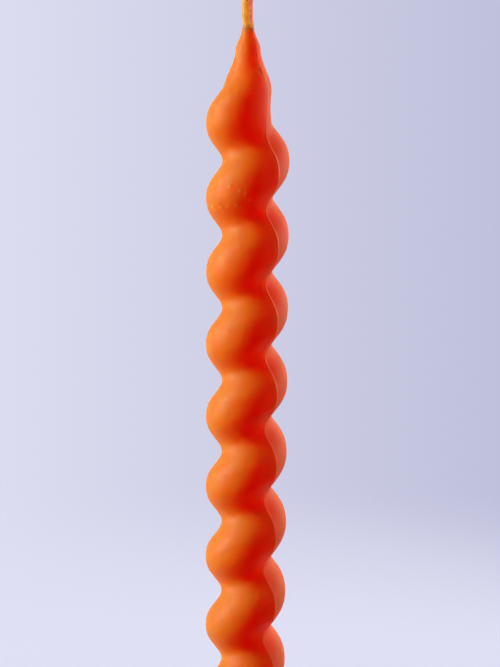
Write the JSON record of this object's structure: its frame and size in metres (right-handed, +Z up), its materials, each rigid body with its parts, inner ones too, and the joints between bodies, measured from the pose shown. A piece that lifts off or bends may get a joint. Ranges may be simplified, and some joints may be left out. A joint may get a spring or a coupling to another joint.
{
  "type": "taper candle",
  "caption": "Slender twisted taper candle: a corkscrew wax column with a tapered nose, a plain round foot for a candle holder and a wax-dipped plaited wick.",
  "frame": {"origin": "centre of the flat foot, on the surface that the candle stands on", "axes": "+Z up along the wick, and the front of the picture's view faces -Y"},
  "size_m": [0.022, 0.022, 0.268],
  "materials": {
    "wax": "satin",
    "wick_wax": "satin",
    "wick_cotton": "matte"
  },
  "bodies": {
    "root": {"wax_body": "wax", "wick_coat": "wick_wax", "wick_strand_1": "wick_cotton", "wick_strand_2": "wick_cotton", "wick_strand_3": "wick_cotton"}
  },
  "joints": []
}
